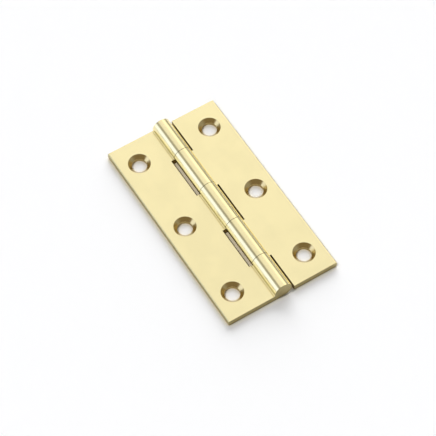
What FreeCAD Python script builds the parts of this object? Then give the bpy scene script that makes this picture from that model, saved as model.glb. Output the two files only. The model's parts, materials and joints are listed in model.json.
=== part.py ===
import FreeCAD, Part
import Sketcher
import math
import os

Vector = FreeCAD.Vector

# Cabinet butt hinge of drawn brass, lying open and flat on the backs of its
# leaves. X runs across the leaves, Y along the pin and Z up, towards the
# countersunk side. The origin is under the middle of the barrel, on the
# surface that the leaves lie on. Every piece is drawn about the pin's axis
# and then lifted by half a knuckle.

SIZES = (
    ("hinge_length", 63.5, "from end to end, along the pin"),
    ("open_width", 34.9, "across both leaves, opened flat"),
    ("leaf_thickness", 2.0, "plate of each leaf"),
    ("knuckle_diameter", 5.4, "outside of the barrel"),
    ("knuckle_pitch", 13.45, "from joint line to joint line"),
    ("knuckle_gap", 0.13, "end play between two knuckles"),
    ("knuckle_room", 0.9, "from a knuckle to the notch it turns in"),
    ("root_radius", 0.12, "where the plate runs into the barrel"),
    ("edge_radius", 0.4, "long outer edge of each leaf"),
    ("end_break", 0.08, "rounding of the sawn ends"),
    ("pin_diameter", 3.0, "shank of the pin"),
    ("pin_clearance", 0.05, "running fit in the door leaf, on the radius"),
    ("rivet_diameter", 3.8, "ends of the pin, riveted over"),
    ("rivet_depth", 0.4, "length of the flare at each end of the pin"),
    ("screw_hole_diameter", 4.35, "clearance hole"),
    ("countersink_diameter", 6.4, "rim on the leaf's face"),
    ("countersink_angle", 90, "included angle"),
    ("screw_count", 3, "holes in each leaf"),
    ("screw_edge_margin", 5.89, "from a leaf's outer edge to its row of holes"),
    ("screw_end_margin", 7.42, "from a leaf's end to its first hole"),
)

FRAME_SIDE = -1
DOOR_SIDE = 1


# Sizes

class Size(float):
    """A number that keeps the spreadsheet formula it comes from."""

    def __new__(cls, value, formula):
        number = super().__new__(cls, value)
        number.formula = formula
        return number

    def joined(self, sign, other, value):
        other_formula = getattr(other, "formula", str(other))
        return Size(value, "(%s %s %s)" % (self.formula, sign, other_formula))

    def __add__(self, other):
        return self.joined("+", other, float(self) + float(other))

    def __sub__(self, other):
        return self.joined("-", other, float(self) - float(other))

    def __mul__(self, other):
        return self.joined("*", other, float(self) * float(other))

    def __truediv__(self, other):
        return self.joined("/", other, float(self) / float(other))


def make_sheet(document):
    sheet = document.addObject("Spreadsheet::Sheet", "Sizes")
    for row, (alias, value, note) in enumerate(SIZES, start=1):
        sheet.set("A%d" % row, alias)
        sheet.set("B%d" % row, str(value))
        sheet.set("C%d" % row, note)
        sheet.setAlias("B%d" % row, alias)
    document.recompute()
    return sheet


def size(alias):
    return Size(sheet.get(alias), "Sizes." + alias)


def bind(feature, name, value):
    feature.setExpression(name, value.formula)


# Sketches

def add_body(label):
    body = document.addObject("PartDesign::Body", label)
    body.Label = label
    bind(body, "Placement.Base.z", barrel_radius)
    return body


def add_sketch(body, name, role):
    plane = [item for item in body.Origin.OriginFeatures if item.Role == role][0]
    sketch = body.newObject("Sketcher::SketchObject", name)
    sketch.AttachmentSupport = [(plane, "")]
    sketch.MapMode = "FlatFace"
    return sketch


def add_line(sketch, start, end):
    return sketch.addGeometry(Part.LineSegment(Vector(*start, 0), Vector(*end, 0)))


def add_circle(sketch, centre, radius):
    return sketch.addGeometry(Part.Circle(Vector(*centre, 0), Vector(0, 0, 1), radius))


def add_arc(sketch, centre, radius, start_deg, end_deg, mirrored):
    if mirrored:
        centre = (-centre[0], centre[1])
        start_deg, end_deg = 180 - end_deg, 180 - start_deg
    circle = Part.Circle(Vector(*centre, 0), Vector(0, 0, 1), radius)
    return sketch.addGeometry(Part.ArcOfCircle(circle, math.radians(start_deg), math.radians(end_deg)))


def constrain(sketch, kind, *places):
    sketch.addConstraint(Sketcher.Constraint(kind, *places))


def measure(sketch, name, kind, places, value):
    index = sketch.addConstraint(Sketcher.Constraint(kind, *places, float(value)))
    sketch.renameConstraint(index, name)
    bind(sketch, "Constraints." + name, value)


def hold(sketch, name, kind, place, side, value):
    """Keeps a point at a distance from the sketch's origin, on one side of it."""
    origin = (-1, 1)
    places = origin + place if side > 0 else place + origin
    measure(sketch, name, kind, places, value)


def add_rectangle(sketch, name, left, right, near, far):
    """A rectangle, each side given as a direction from the origin and a distance."""
    x = [side * value for side, value in (left, right)]
    y = [side * value for side, value in (near, far)]
    corners = ((x[0], y[0]), (x[1], y[0]), (x[1], y[1]), (x[0], y[1]))
    lines = [add_line(sketch, corners[i], corners[(i + 1) % 4]) for i in range(4)]
    for i in range(4):
        constrain(sketch, "Coincident", lines[i], 2, lines[(i + 1) % 4], 1)
        constrain(sketch, "Horizontal" if i % 2 == 0 else "Vertical", lines[i])
    hold(sketch, name + "_left", "DistanceX", (lines[0], 1), *left)
    hold(sketch, name + "_right", "DistanceX", (lines[1], 2), *right)
    hold(sketch, name + "_near", "DistanceY", (lines[0], 1), *near)
    hold(sketch, name + "_far", "DistanceY", (lines[1], 2), *far)


# Leaves

def draw_section(body, side):
    """The drawn bar's outline: a plate whose back is tangent to the barrel."""
    sketch = add_sketch(body, body.Label + "_section", "XZ_Plane")
    root = size("root_radius")
    edge = size("edge_radius")
    face_z = leaf_face
    back_z = -barrel_radius
    flat_end = half_width - edge
    root_z = face_z + root
    root_x = math.sqrt((barrel_radius + root) ** 2 - root_z ** 2)
    lean = math.degrees(math.atan2(-root_z, root_x))
    mirrored = side == DOOR_SIDE
    first, last = (2, 1) if mirrored else (1, 2)

    back = add_line(sketch, (side * flat_end, back_z), (0, back_z))
    barrel = add_arc(sketch, (0, 0), barrel_radius, -90, 180 + lean, mirrored)
    hollow = add_arc(sketch, (-root_x, root_z), root, -90, lean, mirrored)
    face = add_line(sketch, (side * root_x, face_z), (side * flat_end, face_z))
    upper = add_arc(sketch, (-flat_end, face_z - edge), edge, 90, 180, mirrored)
    rim = add_line(sketch, (side * half_width, face_z - edge), (side * half_width, back_z + edge))
    lower = add_arc(sketch, (-flat_end, back_z + edge), edge, 180, 270, mirrored)

    for joint in (
            (back, 2, barrel, first), (barrel, last, hollow, last),
            (hollow, first, face, 1), (face, 2, upper, first),
            (upper, last, rim, 1), (rim, 2, lower, first), (lower, last, back, 1)):
        constrain(sketch, "Tangent", *joint)
    constrain(sketch, "Horizontal", back)
    constrain(sketch, "Horizontal", face)
    constrain(sketch, "Vertical", rim)
    constrain(sketch, "Coincident", barrel, 3, -1, 1)
    measure(sketch, "barrel", "Radius", (barrel,), barrel_radius)
    measure(sketch, "root", "Radius", (hollow,), root)
    measure(sketch, "upper_edge", "Radius", (upper,), edge)
    measure(sketch, "lower_edge", "Radius", (lower,), edge)
    measure(sketch, "plate", "DistanceY", (back, 1, face, 2), size("leaf_thickness"))
    hold(sketch, "reach", "DistanceX", (rim, 1), side, half_width)
    return sketch


def make_bar(body, side):
    """The bar, sawn to length, with the edges of its sawn ends eased."""
    bar = body.newObject("PartDesign::Pad", body.Label + "_bar")
    bar.Profile = draw_section(body, side)
    bar.SideType = "Symmetric"
    bind(bar, "Length", size("hinge_length"))
    document.recompute()

    sawn = []
    for index, edge in enumerate(bar.Shape.Edges, start=1):
        box = edge.BoundBox
        if box.YLength < CLOSE and abs(abs(box.YMin) - half_length) < CLOSE:
            sawn.append("Edge%d" % index)
    ends = body.newObject("PartDesign::Fillet", body.Label + "_ends")
    ends.Base = (bar, sawn)
    bind(ends, "Radius", size("end_break"))


def cut_notches(body, side, spans):
    """The gaps for the other leaf's knuckles, each from near to far along the pin."""
    sketch = add_sketch(body, body.Label + "_notch_plan", "XY_Plane")
    inside = (side, barrel_radius + size("knuckle_room"))
    outside = (-side, size("knuckle_diameter"))
    left, right = sorted((inside, outside))
    for index, (near, far) in enumerate(spans, start=1):
        add_rectangle(sketch, "notch_%d" % index, left, right, near, far)
    notches = body.newObject("PartDesign::Pocket", body.Label + "_notches")
    notches.Profile = sketch
    notches.Type = "ThroughAll"
    notches.SideType = "Symmetric"


def drill_screw_holes(body, side):
    """A row of countersunk holes, repeated from the one nearest the end."""
    sketch = add_sketch(body, body.Label + "_screw_place", "XY_Plane")
    bind(sketch, "AttachmentOffset.Base.z", leaf_face)
    row_x = half_width - size("screw_edge_margin")
    first_y = half_length - size("screw_end_margin")
    radius = size("screw_hole_diameter") / 2
    circle = add_circle(sketch, (side * row_x, -first_y), radius)
    measure(sketch, "hole", "Radius", (circle,), radius)
    hold(sketch, "row", "DistanceX", (circle, 3), side, row_x)
    hold(sketch, "first", "DistanceY", (circle, 3), -1, first_y)
    document.recompute()

    hole = body.newObject("PartDesign::Hole", body.Label + "_screw_hole")
    hole.Profile = sketch
    hole.DepthType = "ThroughAll"
    hole.HoleCutType = "Countersink"
    bind(hole, "Diameter", size("screw_hole_diameter"))
    bind(hole, "HoleCutDiameter", size("countersink_diameter"))
    bind(hole, "HoleCutCountersinkAngle", size("countersink_angle"))
    document.recompute()

    row = body.newObject("PartDesign::LinearPattern", body.Label + "_screw_row")
    row.Originals = [hole]
    row.Direction = (sketch, ["V_Axis"])
    bind(row, "Length", first_y * 2)
    bind(row, "Occurrences", size("screw_count"))
    body.Tip = row


def make_frame_leaf():
    """The leaf with the middle and both end knuckles, which grip the pin."""
    body = add_body("frame_leaf")
    make_bar(body, FRAME_SIDE)
    inner = first_joint - half_gap
    outer = second_joint + half_gap
    cut_notches(body, FRAME_SIDE, (((-1, outer), (-1, inner)), ((1, inner), (1, outer))))
    profile = draw_pin_profile(body, "frame_leaf_bore_profile")
    bore = body.newObject("PartDesign::Groove", "frame_leaf_bore")
    bore.Profile = profile
    bore.ReferenceAxis = (profile, ["H_Axis"])
    bore.Angle = 360
    drill_screw_holes(body, FRAME_SIDE)
    return body


def make_door_leaf():
    """The leaf with two knuckles, which turns on the pin."""
    body = add_body("door_leaf")
    make_bar(body, DOOR_SIDE)
    middle = first_joint + half_gap
    inner = second_joint - half_gap
    beyond = size("hinge_length")
    cut_notches(body, DOOR_SIDE, (
        ((-1, beyond), (-1, inner)), ((-1, middle), (1, middle)), ((1, inner), (1, beyond))))
    sketch = add_sketch(body, "door_leaf_bore_place", "XZ_Plane")
    radius = size("pin_diameter") / 2 + size("pin_clearance")
    circle = add_circle(sketch, (0, 0), radius)
    constrain(sketch, "Coincident", circle, 3, -1, 1)
    measure(sketch, "bore", "Radius", (circle,), radius)
    bore = body.newObject("PartDesign::Pocket", "door_leaf_bore")
    bore.Profile = sketch
    bore.Type = "ThroughAll"
    bore.SideType = "Symmetric"
    drill_screw_holes(body, DOOR_SIDE)
    return body


# Pin

def draw_pin_profile(body, name):
    """Half the outline of the pin and its riveted ends, about the pin's axis."""
    sketch = add_sketch(body, name, "YZ_Plane")
    shank = size("pin_diameter") / 2
    rivet = size("rivet_diameter") / 2
    neck = half_length - size("rivet_depth")
    points = (
        (-half_length, 0), (-half_length, rivet), (-neck, shank),
        (neck, shank), (half_length, rivet), (half_length, 0))
    lines = [add_line(sketch, points[i], points[(i + 1) % 6]) for i in range(6)]
    for i in range(6):
        constrain(sketch, "Coincident", lines[i], 2, lines[(i + 1) % 6], 1)
    near_face, near_flare, side_line, far_flare, far_face, axis_line = lines
    constrain(sketch, "Vertical", near_face)
    constrain(sketch, "Vertical", far_face)
    constrain(sketch, "Horizontal", side_line)
    constrain(sketch, "Symmetric", near_face, 1, far_face, 2, -1, 1)
    constrain(sketch, "PointOnObject", near_face, 1, -1)
    constrain(sketch, "Equal", near_face, far_face)
    constrain(sketch, "Equal", near_flare, far_flare)
    measure(sketch, "length", "DistanceX", (near_face, 1, far_face, 2), size("hinge_length"))
    measure(sketch, "rivet", "DistanceY", (near_face, 1, near_face, 2), rivet)
    measure(sketch, "shank", "DistanceY", (near_face, 1, side_line, 1), shank)
    measure(sketch, "flare", "DistanceX", (near_face, 1, side_line, 1), size("rivet_depth"))
    return sketch


def make_hinge_pin():
    """A plain pin, riveted over at both ends and flush with the end knuckles."""
    body = add_body("hinge_pin")
    profile = draw_pin_profile(body, "hinge_pin_profile")
    turned = body.newObject("PartDesign::Revolution", "hinge_pin_turned")
    turned.Profile = profile
    turned.ReferenceAxis = (profile, ["H_Axis"])
    turned.Angle = 360
    return body


# Document

def check_document():
    for item in document.Objects:
        if "Invalid" in item.State or "Error" in item.State:
            raise RuntimeError("%s failed: %s" % (item.Label, item.State))
    for piece in pieces:
        if piece.Shape.isNull() or not piece.Shape.isValid() or len(piece.Shape.Solids) != 1:
            raise RuntimeError("%s is not one sound solid" % piece.Label)


CLOSE = 1e-6

document = FreeCAD.newDocument("CabinetHinge")
sheet = make_sheet(document)

barrel_radius = size("knuckle_diameter") / 2
leaf_face = size("leaf_thickness") - barrel_radius
half_width = size("open_width") / 2
half_length = size("hinge_length") / 2
half_gap = size("knuckle_gap") / 2
first_joint = size("knuckle_pitch") / 2
second_joint = size("knuckle_pitch") * 1.5

pieces = [make_frame_leaf(), make_door_leaf(), make_hinge_pin()]
document.recompute()
check_document()

os.makedirs("parts", exist_ok=True)
for piece in pieces:
    piece.Shape.exportStep("parts/%s.step" % piece.Label)
    box = piece.Shape.BoundBox
    print("%s: %.3f mm3, x %.2f to %.2f, y %.2f to %.2f, z %.2f to %.2f" % (
        piece.Label, piece.Shape.Volume, box.XMin, box.XMax, box.YMin, box.YMax, box.ZMin, box.ZMax))
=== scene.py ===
import json
import math
import bpy
from mathutils import Matrix, Vector


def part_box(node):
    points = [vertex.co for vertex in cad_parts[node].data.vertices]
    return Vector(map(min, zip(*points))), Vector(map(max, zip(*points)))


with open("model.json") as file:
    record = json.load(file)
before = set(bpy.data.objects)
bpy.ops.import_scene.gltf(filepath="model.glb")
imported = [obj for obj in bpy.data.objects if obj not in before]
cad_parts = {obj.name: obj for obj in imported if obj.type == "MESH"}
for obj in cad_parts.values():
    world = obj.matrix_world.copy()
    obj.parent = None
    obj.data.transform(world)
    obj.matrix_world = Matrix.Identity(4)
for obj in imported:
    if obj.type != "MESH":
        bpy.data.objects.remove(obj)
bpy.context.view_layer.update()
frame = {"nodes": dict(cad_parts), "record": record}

MM = 0.001


def sin(degrees):
    return math.sin(math.radians(degrees))


def cos(degrees):
    return math.cos(math.radians(degrees))


def direction_to(azimuth, elevation):
    """The direction from the hinge to a place around it: azimuth 0 is +X, 90 is +Y."""
    return Vector((
        cos(azimuth) * cos(elevation),
        sin(azimuth) * cos(elevation),
        sin(elevation)))


# Camera: where the photograph was taken from, and how far its middle is off the hinge's
CAMERA_AZIMUTH = -122.16
CAMERA_ELEVATION = 58.5
CAMERA_DISTANCE = 573.0 * MM
CAMERA_RIGHT = -0.72 * MM
CAMERA_UP = -1.90 * MM
CAMERA_LENS = 170.7
CAMERA_SENSOR = 36.0
CAMERA_CLIP = (0.01, 20.0)


def add_camera():
    back = direction_to(CAMERA_AZIMUTH, CAMERA_ELEVATION)
    right = Vector((0, 0, 1)).cross(back).normalized()
    up = back.cross(right)
    camera = bpy.data.objects.new("camera", bpy.data.cameras.new("camera"))
    bpy.context.scene.collection.objects.link(camera)
    turn = Matrix((right, up, back)).transposed()
    place = back * CAMERA_DISTANCE + right * CAMERA_RIGHT + up * CAMERA_UP
    camera.matrix_world = Matrix.Translation(place) @ turn.to_4x4()
    camera.data.lens = CAMERA_LENS
    camera.data.sensor_width = CAMERA_SENSOR
    camera.data.clip_start, camera.data.clip_end = CAMERA_CLIP
    bpy.context.scene.camera = camera


class Nodes:
    """Short words for building a node tree."""

    # A Mix node's two inputs and its output, by kind
    MIX_SOCKETS = {"FLOAT": (2, 3, 0), "RGBA": (6, 7, 2)}

    def __init__(self, tree):
        self.tree = tree
        tree.nodes.clear()

    def add(self, kind, **settings):
        node = self.tree.nodes.new(kind)
        for name, value in settings.items():
            setattr(node, name, value)
        return node

    def link(self, source, target):
        self.tree.links.new(source, target)

    def feed(self, socket, value):
        """Gives a socket a number, a vector, a colour or another node's output."""
        if isinstance(value, bpy.types.NodeSocket):
            self.link(value, socket)
        elif socket.type == "RGBA":
            socket.default_value = (*value, 1.0)
        else:
            socket.default_value = value

    def math(self, operation, *values):
        node = self.add("ShaderNodeMath", operation=operation)
        for socket, value in zip(node.inputs, values):
            self.feed(socket, value)
        return node.outputs[0]

    def vector_math(self, operation, first, second, result="Vector"):
        node = self.add("ShaderNodeVectorMath", operation=operation)
        self.feed(node.inputs[0], first)
        self.feed(node.inputs[1], second)
        return node.outputs[result]

    def dot(self, vector, direction):
        return self.vector_math("DOT_PRODUCT", vector, direction, "Value")

    def scaled(self, vector, factors):
        return self.vector_math("MULTIPLY", vector, factors)

    def plus(self, first, second):
        return self.vector_math("ADD", first, second)

    def parts(self, vector):
        node = self.add("ShaderNodeSeparateXYZ")
        self.link(vector, node.inputs[0])
        return [node.outputs[axis] for axis in "XYZ"]

    def length(self, *parts):
        """The length of a vector given by its parts."""
        squares = 0.0
        for part in parts:
            squares = self.math("ADD", squares, self.math("MULTIPLY", part, part))
        return self.math("SQRT", squares)

    def ramp(self, value, low, high, to_low=0.0, to_high=1.0):
        """A smooth change from one amount to another while a value goes from low to high."""
        node = self.add("ShaderNodeMapRange", interpolation_type="SMOOTHSTEP")
        for name, item in (
                ("Value", value), ("From Min", low), ("From Max", high),
                ("To Min", to_low), ("To Max", to_high)):
            self.feed(node.inputs[name], item)
        return node.outputs[0]

    def fall(self, value, low, high):
        return self.ramp(value, low, high, 1.0, 0.0)

    def all_of(self, *masks):
        """Where every one of the masks holds."""
        result = masks[0]
        for mask in masks[1:]:
            result = self.math("MULTIPLY", result, mask)
        return result

    def outside(self, mask):
        return self.math("SUBTRACT", 1.0, mask)

    def mix(self, kind, mask, low, high):
        node = self.add("ShaderNodeMix", data_type=kind, clamp_factor=True)
        first, second, result = self.MIX_SOCKETS[kind]
        for index, value in ((0, mask), (first, low), (second, high)):
            self.feed(node.inputs[index], value)
        return node.outputs[result]

    def blend(self, mask, low, high):
        return self.mix("FLOAT", mask, low, high)

    def colour(self, mask, low, high):
        return self.mix("RGBA", mask, low, high)

    def noise(self, vector, scale):
        node = self.add("ShaderNodeTexNoise")
        self.link(vector, node.inputs["Vector"])
        node.inputs["Scale"].default_value = scale
        return node.outputs["Fac"]


# Room: what the brass mirrors

AMBIENT = (0.38, 0.38, 0.38)
# The unlit side, warm and dim: its middle, and how far from it, in degrees,
# the dimness begins and is full
DIM_SIDE = (235, 25)
DIM_FROM = 75
DIM_TO = 32
DIM = (0.25, 0.205, 0.14)
# Each overhead panel, as if hung one unit above the hinge:
# its spans along X and Y, soft edge and glow
PANELS = (
    ((-0.42, 1.75), (0.18, 1.9), 0.14, (0.60, 0.60, 0.60)),
    ((-0.12, 1.75), (-0.45, 0.18), 0.14, (0.60, 0.60, 0.60)),
)
# The heights over which the panels fade out towards the horizon, as sines of elevation
PANEL_FADE = (0.02, 0.12)
LEAST_HEIGHT = 0.01
# Each upright softbox, in degrees: azimuth and elevation of its middle,
# half width, half height, soft edge, and then its glow
SOFTBOXES = (
    (157, 19.5, 17, 17.5, 5, (0.84, 0.98, 1.42)),
    (58, 37, 34, 13, 9, (0.46, 0.44, 0.35)),
)
# Keeps a softbox off the opposite side of the room
SOFTBOX_FADE = (0.0, 0.05)


def add_panel(n, direction, span_x, span_y, soft, glow):
    """The glow of a soft-edged panel overhead, seen in a direction."""
    x, y, height = n.parts(direction)
    level = n.ramp(height, *PANEL_FADE)
    for part, (low, high) in ((x, span_x), (y, span_y)):
        place = n.math("DIVIDE", part, n.math("MAXIMUM", height, LEAST_HEIGHT))
        offset = n.math("ABSOLUTE", n.math("SUBTRACT", place, (low + high) / 2))
        half = (high - low) / 2
        level = n.all_of(level, n.fall(offset, half - soft, half + soft))
    return n.scaled(level, glow)


def add_softbox(n, direction, azimuth, elevation, half_width, half_height, soft, glow):
    """The glow of a soft-edged upright rectangle, seen in a direction."""
    middle = direction_to(azimuth, elevation)
    side = direction_to(azimuth + 90, 0)
    level = n.ramp(n.dot(direction, middle), *SOFTBOX_FADE)
    for axis, half in ((side, half_width), (middle.cross(side), half_height)):
        offset = n.math("ABSOLUTE", n.dot(direction, axis))
        level = n.all_of(level, n.fall(offset, sin(half - soft), sin(half + soft)))
    return n.scaled(level, glow)


def add_room():
    """The room is seen in the brass alone. The floor is lit by the lamps."""
    world = bpy.data.worlds.new("studio")
    bpy.context.scene.world = world
    world.use_nodes = True
    world.cycles_visibility.diffuse = False
    n = Nodes(world.node_tree)
    direction = n.add("ShaderNodeTexCoord").outputs["Generated"]
    dim = n.ramp(n.dot(direction, direction_to(*DIM_SIDE)), cos(DIM_FROM), cos(DIM_TO))
    total = n.colour(dim, AMBIENT, DIM)
    for panel in PANELS:
        total = n.plus(total, add_panel(n, direction, *panel))
    for softbox in SOFTBOXES:
        total = n.plus(total, add_softbox(n, direction, *softbox))
    background = n.add("ShaderNodeBackground")
    n.link(total, background.inputs["Color"])
    n.link(background.outputs[0], n.add("ShaderNodeOutputWorld").inputs[0])


# Lamps: azimuth, elevation and apparent size in degrees, strength and colour

LAMPS = {
    "sky": (40, 88, 112, 0.70, (0.97, 1.0, 1.06)),
    "window": (55, 18, 71, 4.4, (1.0, 1.0, 1.0)),
    "key": (171, 64.5, 4, 1.25, (1.0, 0.97, 0.91)),
}


def add_lamp(name, azimuth, elevation, size, strength, colour):
    """A distant lamp that throws shadows on the floor and isn't mirrored by the brass."""
    data = bpy.data.lights.new(name, "SUN")
    data.energy = strength
    data.angle = math.radians(size)
    data.color = colour
    lamp = bpy.data.objects.new(name, data)
    bpy.context.scene.collection.objects.link(lamp)
    lamp.rotation_euler = direction_to(azimuth, elevation).to_track_quat("Z", "Y").to_euler()
    lamp.visible_glossy = False


# Floor

FLOOR_HALF = 3.0
FLOOR_DROP = 0.01 * MM
FLOOR_COLOUR = (0.95, 0.955, 0.97)
# Painted bounce light: the floor that the brass shuts in is tinted warm in place of the
# light the brass throws on it: the colour there, how open the floor is where it begins to
# turn and where it has turned, and how near the brass has to be
PAINTED_BOUNCE_COLOUR = (1.0, 0.905, 0.67)
PAINTED_BOUNCE_FROM = 0.9
PAINTED_BOUNCE_FULL = 0.2
PAINTED_BOUNCE_REACH = 2.0 * MM
PAINTED_BOUNCE_SAMPLES = 6


def floor_material():
    material = bpy.data.materials.new("floor")
    material.use_nodes = True
    n = Nodes(material.node_tree)
    open_part = n.add("ShaderNodeAmbientOcclusion", samples=PAINTED_BOUNCE_SAMPLES)
    open_part.inputs["Distance"].default_value = PAINTED_BOUNCE_REACH
    # Painted bounce light: the floor turns warm where ambient occlusion finds it shut in by the
    # brass
    painted_bounce = n.ramp(open_part.outputs["AO"], PAINTED_BOUNCE_FROM, PAINTED_BOUNCE_FULL)
    diffuse = n.add("ShaderNodeBsdfDiffuse")
    n.link(n.colour(painted_bounce, FLOOR_COLOUR, PAINTED_BOUNCE_COLOUR), diffuse.inputs["Color"])
    n.link(diffuse.outputs[0], n.add("ShaderNodeOutputMaterial").inputs[0])
    return material


def lay_under(floor, leaves):
    """Lets the floor down to just under the lowest point of the leaves, wherever they swing."""
    tree = bpy.data.node_groups.new("floor height", "GeometryNodeTree")
    for side in ("INPUT", "OUTPUT"):
        tree.interface.new_socket(
            "Geometry", in_out=side, socket_type="NodeSocketGeometry")
    n = Nodes(tree)
    lowest = 0.0
    for leaf in leaves:
        shape = n.add("GeometryNodeObjectInfo", transform_space="RELATIVE")
        shape.inputs["Object"].default_value = leaf
        box = n.add("GeometryNodeBoundBox")
        n.link(shape.outputs["Geometry"], box.inputs["Geometry"])
        lowest = n.math("MINIMUM", lowest, n.parts(box.outputs["Min"])[2])
    drop = n.add("ShaderNodeCombineXYZ")
    n.link(n.math("SUBTRACT", lowest, FLOOR_DROP), drop.inputs["Z"])
    laid = n.add("GeometryNodeTransform")
    n.link(n.add("NodeGroupInput").outputs["Geometry"], laid.inputs["Geometry"])
    n.link(drop.outputs["Vector"], laid.inputs["Translation"])
    n.link(laid.outputs["Geometry"], n.add("NodeGroupOutput").inputs["Geometry"])
    floor.modifiers.new("height", "NODES").node_group = tree


def add_floor():
    mesh = bpy.data.meshes.new("floor")
    corners = ((-1, -1), (1, -1), (1, 1), (-1, 1))
    mesh.from_pydata([(x * FLOOR_HALF, y * FLOOR_HALF, 0) for x, y in corners], [], [range(4)])
    mesh.materials.append(floor_material())
    floor = bpy.data.objects.new("floor", mesh)
    bpy.context.scene.collection.objects.link(floor)
    lay_under(floor, [frame["nodes"][name] for name in ("frame_leaf", "door_leaf")])


# Brass, in millimetres

MOUNTS = {mount["name"]: mount for mount in frame["record"]["mounts"]}
END_SCREWS = MOUNTS["door_leaf_end_screws"]
ROW = abs(END_SCREWS["pos_m"][0]) / MM
PITCH = END_SCREWS["dims"]["spacing_y_mm"] / 2
HOLE_RADIUS = END_SCREWS["dims"]["hole_r_mm"]
LAND = MOUNTS["door_leaf_middle_screw"]["dims"]["length_mm"]
HALF_WIDTH, HALF_LENGTH = [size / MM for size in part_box("door_leaf")[1][:2]]
BARREL_RADIUS = frame["record"]["behaviour"]["joints"][0]["pos_m"][2] / MM
RIVET_RADIUS = 1.9
LEAF_THICKNESS = 2.0
RIM_RADIUS = HOLE_RADIUS + LEAF_THICKNESS - LAND

# Finishes: base colour and roughness. The turned, drilled, sawn, dressed and riveted ones
# are partly painted shade, their base colours darkened for the shade and dark reflections
# of the holes, notches, ends and sides
POLISHED = ((0.925, 0.815, 0.465), 0.20)
# Turned countersinks, a turned finish darkened further as painted shade for the hollow of each
# hole
TURNED_AND_PAINTED_SHADE = ((0.74, 0.59, 0.275), 0.19)
# Drilled land at the bottom of each hole, darkened as painted shade for the hollow
DRILLED_AND_PAINTED_SHADE = ((0.50, 0.38, 0.16), 0.42)
# Notch walls and knuckle ends in the slots, a rough sawn finish darkened as painted shade for
# the narrow slots
SAWN_AND_PAINTED_SHADE = ((0.26, 0.175, 0.045), 0.50)
# Leaf ends and outer sides, darkened as painted shade for the shaded floor they mirror
DRESSED_AND_PAINTED_SHADE = ((0.43, 0.36, 0.155), 0.34)
DRAWN = ((0.88, 0.76, 0.42), 0.30)
# Riveted pin end, darkened as painted shade like the barrel's end face
RIVETED_AND_PAINTED_SHADE = ((0.46, 0.375, 0.165), 0.34)

# Where a finish begins or ends: the two places between which it fades
END_FROM = (HALF_LENGTH - 0.5, HALF_LENGTH - 0.3)
EDGE_FROM = (HALF_WIDTH - 0.6, HALF_WIDTH - 0.3)
NOTCH_FROM = (BARREL_RADIUS + 0.3, BARREL_RADIUS + 0.5)
NOTCH_TO = (BARREL_RADIUS + 1.5, BARREL_RADIUS + 2.0)
HOLE_TO = (RIM_RADIUS, RIM_RADIUS + 0.03)
LAND_TO = (LAND - 0.03, LAND)
SEAM_FROM = (RIVET_RADIUS - 0.10, RIVET_RADIUS - 0.02)
# The same for a surface's facing, as the part of its normal along an axis
SIDEWAYS = (0.6, 0.8)
DOWNWARDS = (-0.9, -0.7)

# Clouding of the polish: its size, its contrast and how far it dims the base colour
CLOUD_SIZE = 9.0
CLOUD_CONTRAST = (0.35, 0.65)
CLOUD_DIP = 0.035
# Marks of the work: spacing across and along them, and depth
GRAIN = (0.10, 9.0)
GRAIN_DEPTH = 0.0030
CUTS = (0.14, 1.8)
CUT_DEPTH = 0.0110
RING_PITCH = 0.09
RING_DEPTH = 0.0060
# Streaks in the shine: spacing across and along them, contrast and swing of roughness
STREAKS = (1.1, 26.0)
STREAK_CONTRAST = (0.3, 0.7)
STREAK_SWING = 0.035
RIVET_SWING = 0.10
# How bright the rings of the riveted end and its seam are, beside the end itself
RIVET_RING = 0.85
RIVET_SEAM = 0.55


def marks(n, place, axis, across, along):
    """Fine scratches that run along one axis."""
    pitches = [across] * 3
    pitches["XYZ".index(axis)] = along
    return n.noise(n.scaled(place, [1 / pitch for pitch in pitches]), 1.0)


def rings(n, radius):
    """Fine rings about a turned or riveted axis."""
    place = n.add("ShaderNodeCombineXYZ")
    n.link(n.math("DIVIDE", radius, RING_PITCH), place.inputs["X"])
    return n.noise(place.outputs[0], 1.0)


def shine(n, pattern, gloss, swing):
    """A roughness that swings about its middle with a pattern."""
    return n.ramp(pattern, *STREAK_CONTRAST, gloss - swing / 2, gloss + swing / 2)


def dimmed(tint, share):
    return [part * share for part in tint]


def start_brass(name):
    """A new material and its nodes, with the place in millimetres and the facing there."""
    material = bpy.data.materials.new(name)
    material.use_nodes = True
    n = Nodes(material.node_tree)
    coordinates = n.add("ShaderNodeTexCoord")
    place = n.scaled(coordinates.outputs["Object"], (1 / MM, 1 / MM, 1 / MM))
    return material, n, place, coordinates.outputs["Normal"]


def end_brass(n, colour, roughness, height):
    """Joins colour, roughness and surface height, in millimetres, to the shader."""
    bump = n.add("ShaderNodeBump")
    bump.inputs["Distance"].default_value = MM
    n.link(height, bump.inputs["Height"])
    shader = n.add("ShaderNodeBsdfPrincipled")
    shader.inputs["Metallic"].default_value = 1.0
    n.link(colour, shader.inputs["Base Color"])
    n.link(roughness, shader.inputs["Roughness"])
    n.link(bump.outputs[0], shader.inputs["Normal"])
    n.link(shader.outputs[0], n.add("ShaderNodeOutputMaterial").inputs[0])


def hole_radius(n, side, y):
    """How far a place is from the axis of the nearest screw hole."""
    nearest = n.math("MULTIPLY", PITCH, n.math("ROUND", n.math("DIVIDE", y, PITCH)))
    return n.length(n.math("SUBTRACT", side, ROW), n.math("SUBTRACT", y, nearest))


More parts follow.
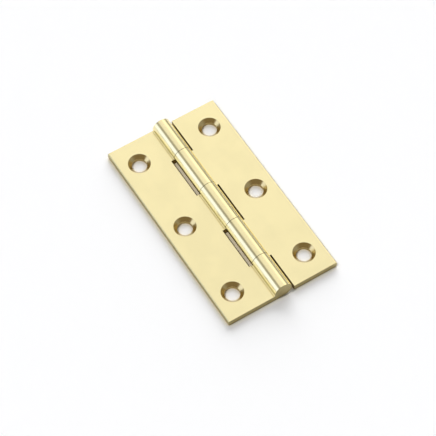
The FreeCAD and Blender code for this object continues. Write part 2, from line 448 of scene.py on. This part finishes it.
def leaf_brass():
    """Each way the leaf was worked leaves its own finish, found from place and facing; the
    notch, hole, end and side finishes are darkened further as painted shade.
    """
    material, n, place, facing = start_brass("satin_brass")
    x, y, z = n.parts(place)
    facing_x, facing_y, facing_z = n.parts(facing)
    side = n.math("ABSOLUTE", x)
    radius = hole_radius(n, side, y)

    under = n.fall(facing_z, *DOWNWARDS)
    across = n.ramp(n.math("ABSOLUTE", facing_x), *SIDEWAYS)
    along = n.ramp(n.math("ABSOLUTE", facing_y), *SIDEWAYS)
    at_end = n.ramp(n.math("ABSOLUTE", y), *END_FROM)
    at_edge = n.ramp(side, *EDGE_FROM)
    in_notch = n.all_of(n.ramp(side, *NOTCH_FROM), n.fall(side, *NOTCH_TO))
    in_hole = n.all_of(n.fall(radius, *HOLE_TO), n.outside(under))
    in_land = n.all_of(in_hole, n.fall(z, *LAND_TO))

    tint, gloss = POLISHED
    clouds = n.ramp(n.noise(place, 1 / CLOUD_SIZE), *CLOUD_CONTRAST)
    colour = n.colour(clouds, dimmed(tint, 1 - CLOUD_DIP), tint)
    roughness = shine(n, marks(n, place, "Y", *STREAKS), gloss, STREAK_SWING)
    # Painted shade: the sawn, dressed, turned and drilled finishes carry darkened colours for
    # the notches, holes, ends and outer sides
    for mask, (tint, gloss) in (
            (under, DRAWN),
            (n.all_of(across, at_edge), DRESSED_AND_PAINTED_SHADE),
            (n.all_of(along, at_end), DRESSED_AND_PAINTED_SHADE),
            (n.all_of(along, n.outside(at_end)), SAWN_AND_PAINTED_SHADE),
            (n.all_of(across, in_notch), SAWN_AND_PAINTED_SHADE),
            (in_hole, TURNED_AND_PAINTED_SHADE),
            (in_land, DRILLED_AND_PAINTED_SHADE)):
        colour = n.colour(mask, colour, tint)
        roughness = n.blend(mask, roughness, gloss)

    grain = n.math("MULTIPLY", marks(n, place, "Y", *GRAIN), GRAIN_DEPTH)
    cuts = n.math("MULTIPLY", marks(n, place, "X", *CUTS), CUT_DEPTH)
    turned = n.math("MULTIPLY", rings(n, radius), RING_DEPTH)
    height = n.blend(in_hole, n.blend(along, grain, cuts), turned)
    end_brass(n, colour, roughness, height)
    return material


def pin_brass():
    """The pin's end, with rings from the riveting and a dark line where it meets the knuckle;
    its base colour is darkened as painted shade, like the barrel's end face.
    """
    material, n, place, _ = start_brass("pin_brass")
    x, _, z = n.parts(place)
    radius = n.length(x, n.math("SUBTRACT", z, BARREL_RADIUS))
    tint, gloss = RIVETED_AND_PAINTED_SHADE
    ring = rings(n, radius)
    colour = n.colour(ring, dimmed(tint, RIVET_RING), tint)
    colour = n.colour(n.ramp(radius, *SEAM_FROM), colour, dimmed(tint, RIVET_SEAM))
    roughness = shine(n, ring, gloss, RIVET_SWING)
    end_brass(n, colour, roughness, n.math("MULTIPLY", ring, RING_DEPTH))
    return material


def dress(node, material):
    """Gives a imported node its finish."""
    for slot in frame["nodes"][node].material_slots:
        slot.material = material


satin = leaf_brass()
dress("frame_leaf", satin)
dress("door_leaf", satin)
dress("hinge_pin", pin_brass())

add_camera()
add_room()
add_floor()
for name, lamp in LAMPS.items():
    add_lamp(name, *lamp)
bpy.context.scene.view_settings.view_transform = "Standard"
